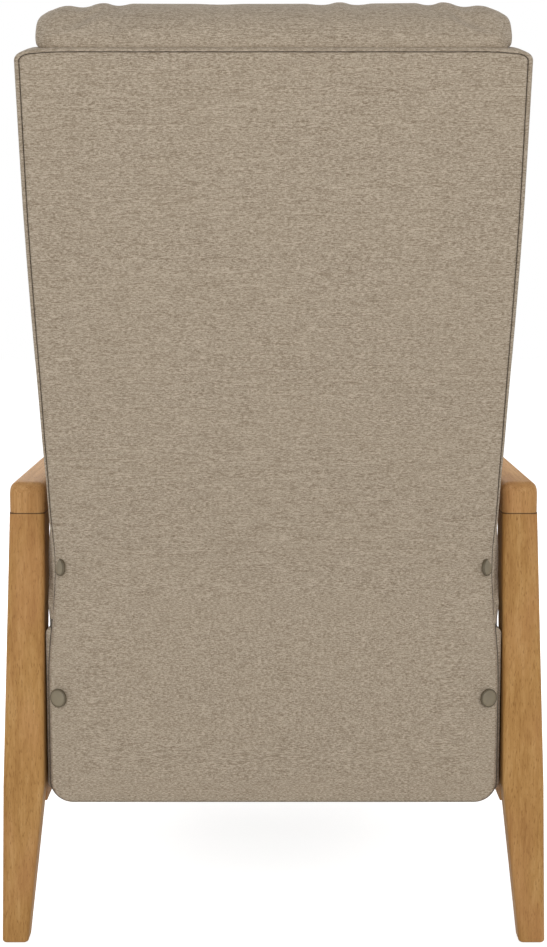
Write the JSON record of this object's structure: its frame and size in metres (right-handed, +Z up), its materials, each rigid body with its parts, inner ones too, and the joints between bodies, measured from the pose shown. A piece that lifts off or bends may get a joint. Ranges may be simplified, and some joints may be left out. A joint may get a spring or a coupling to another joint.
{
  "type": "power recliner chair",
  "caption": "Power recliner with tapered wood side frames, tall upholstered back with head pillow, box seat and a folding footrest driven by linear actuators.",
  "frame": {"origin": "on the floor, under the centre of the whole chair's bounding box, with the back upright and the footrest folded", "axes": "+X to the sitter's left, +Y to the back, +Z up; the chair faces -Y"},
  "size_m": [0.662, 0.906, 1.1122],
  "materials": {
    "wood": "satin honey-brown lacquer",
    "frame_wood": "raw sawn",
    "fabric": "heathered woven upholstery, oatmeal",
    "button_plastic": "matt, colour of the cloth",
    "black_plastic": "fine texture",
    "black_steel": "black powder coat",
    "zinc_steel": "zinc plated",
    "aluminium": "extruded, clear anodised"
  },
  "bodies": {
    "base": {"rear_leg_left": "wood", "rear_leg_right": "wood", "front_leg_left": "wood", "front_leg_right": "wood", "arm_left": "wood", "arm_right": "wood", "side_rail_left": "wood", "side_rail_right": "wood", "leg_glides": "black_plastic", "frame_spacers": "black_plastic", "frame_bolts": "zinc_steel", "seat_side_left": "fabric", "seat_side_right": "fabric", "front_seat_rail": "frame_wood", "rear_seat_rail": "frame_wood", "rear_box_rail": "frame_wood", "seat_springs": "zinc_steel", "seat_cushion": "fabric", "rear_skirt": "fabric", "waist_gusset": "fabric", "lower_snap_buttons": "button_plastic", "mechanism_plate_left": "black_steel", "mechanism_plate_right": "black_steel", "front_cross_tube": "black_steel", "rear_cross_tube": "black_steel", "footrest_gearbox": "black_plastic", "footrest_motor": "zinc_steel", "footrest_drive_tube": "aluminium", "back_gearbox": "black_plastic", "back_motor": "zinc_steel", "back_drive_tube": "aluminium", "control_box": "black_plastic", "power_inlet": "black_plastic", "switch_panel": "black_plastic"},
    "back": {"back_post_left": "frame_wood", "back_post_right": "frame_wood", "back_top_rail": "frame_wood", "back_bottom_rail": "frame_wood", "back_springs": "zinc_steel", "outside_back_panel": "fabric", "back_boxing": "fabric", "back_cushion": "fabric", "head_pillow": "fabric", "back_bracket_left": "black_steel", "back_bracket_right": "black_steel", "back_hinge_tube": "black_steel", "upper_snap_buttons": "button_plastic"},
    "back_drive_rod": {"back_drive_rod": "zinc_steel"},
    "footrest_drive_rod": {"footrest_drive_rod": "zinc_steel"},
    "rear_driving_links": {"footrest_torque_tube": "black_steel", "rear_driving_links": "black_steel"},
    "rear_crossing_links": {"rear_crossing_links": "black_steel"},
    "front_driving_links": {"front_driving_links": "black_steel"},
    "front_crossing_links": {"front_crossing_links": "black_steel"},
    "footrest": {"footrest_brackets": "black_steel", "footrest_board": "frame_wood", "footrest_pad": "fabric"},
    "back_rocker": {"back_rocker": "black_plastic"},
    "footrest_rocker": {"footrest_rocker": "black_plastic"}
  },
  "joints": [
    {"name": "back_recline", "type": "hinge", "parent": "base", "child": "back", "pos_m": [0, 0.235, 0.432], "axis": [1, 0, 0], "range_deg": [-35, 0], "deforming": ["waist_gusset"]},
    {"name": "back_drive", "type": "slide", "parent": "base", "child": "back_drive_rod", "axis": [0, 1, 0], "range_m": [-0.0575, 0.0005]},
    {"name": "footrest_extend", "type": "hinge", "parent": "base", "child": "rear_driving_links", "pos_m": [0, -0.29201, 0.165], "axis": [1, 0, 0], "range_deg": [0, 55]},
    {"name": "footrest_drive", "type": "slide", "parent": "base", "child": "footrest_drive_rod", "axis": [0, -1, 0], "range_m": [-0.0005, 0.0697]},
    {"name": "rear_link_cross", "type": "hinge", "parent": "rear_driving_links", "child": "rear_crossing_links", "pos_m": [0, -0.30851, 0.25856], "axis": [1, 0, 0], "range_deg": [-110.5, 0.5]},
    {"name": "stage_joint", "type": "hinge", "parent": "rear_crossing_links", "child": "front_driving_links", "pos_m": [0, -0.32501, 0.165], "axis": [1, 0, 0], "range_deg": [-0.5, 110.5]},
    {"name": "front_link_cross", "type": "hinge", "parent": "front_driving_links", "child": "front_crossing_links", "pos_m": [0, -0.3415, 0.25856], "axis": [1, 0, 0], "range_deg": [-110.5, 0.5]},
    {"name": "footrest_tilt", "type": "hinge", "parent": "front_driving_links", "child": "footrest", "pos_m": [0, -0.358, 0.35211], "axis": [1, 0, 0], "range_deg": [-138, 0.5]},
    {"name": "footrest_rocker_press", "type": "hinge", "parent": "base", "child": "footrest_rocker", "pos_m": [-0.2695, -0.129, 0.345], "axis": [0, 0, 1], "range_deg": [-6, 6], "stiffness_Nm_per_rad": 0.3},
    {"name": "back_rocker_press", "type": "hinge", "parent": "base", "child": "back_rocker", "pos_m": [-0.2695, -0.091, 0.345], "axis": [0, 0, 1], "range_deg": [-6, 6], "stiffness_Nm_per_rad": 0.3}
  ],
  "couplings": [
    {"joint": "back_drive", "follows": "back_recline", "m_per_rad": 0.09353},
    {"joint": "footrest_drive", "follows": "footrest_extend", "m_per_rad": 0.072153},
    {"joint": "rear_link_cross", "follows": "footrest_extend", "ratio": -2},
    {"joint": "stage_joint", "follows": "footrest_extend", "ratio": 2},
    {"joint": "front_link_cross", "follows": "footrest_extend", "ratio": -2},
    {"joint": "footrest_tilt", "follows": "footrest_extend", "ratio": -2.5}
  ]
}
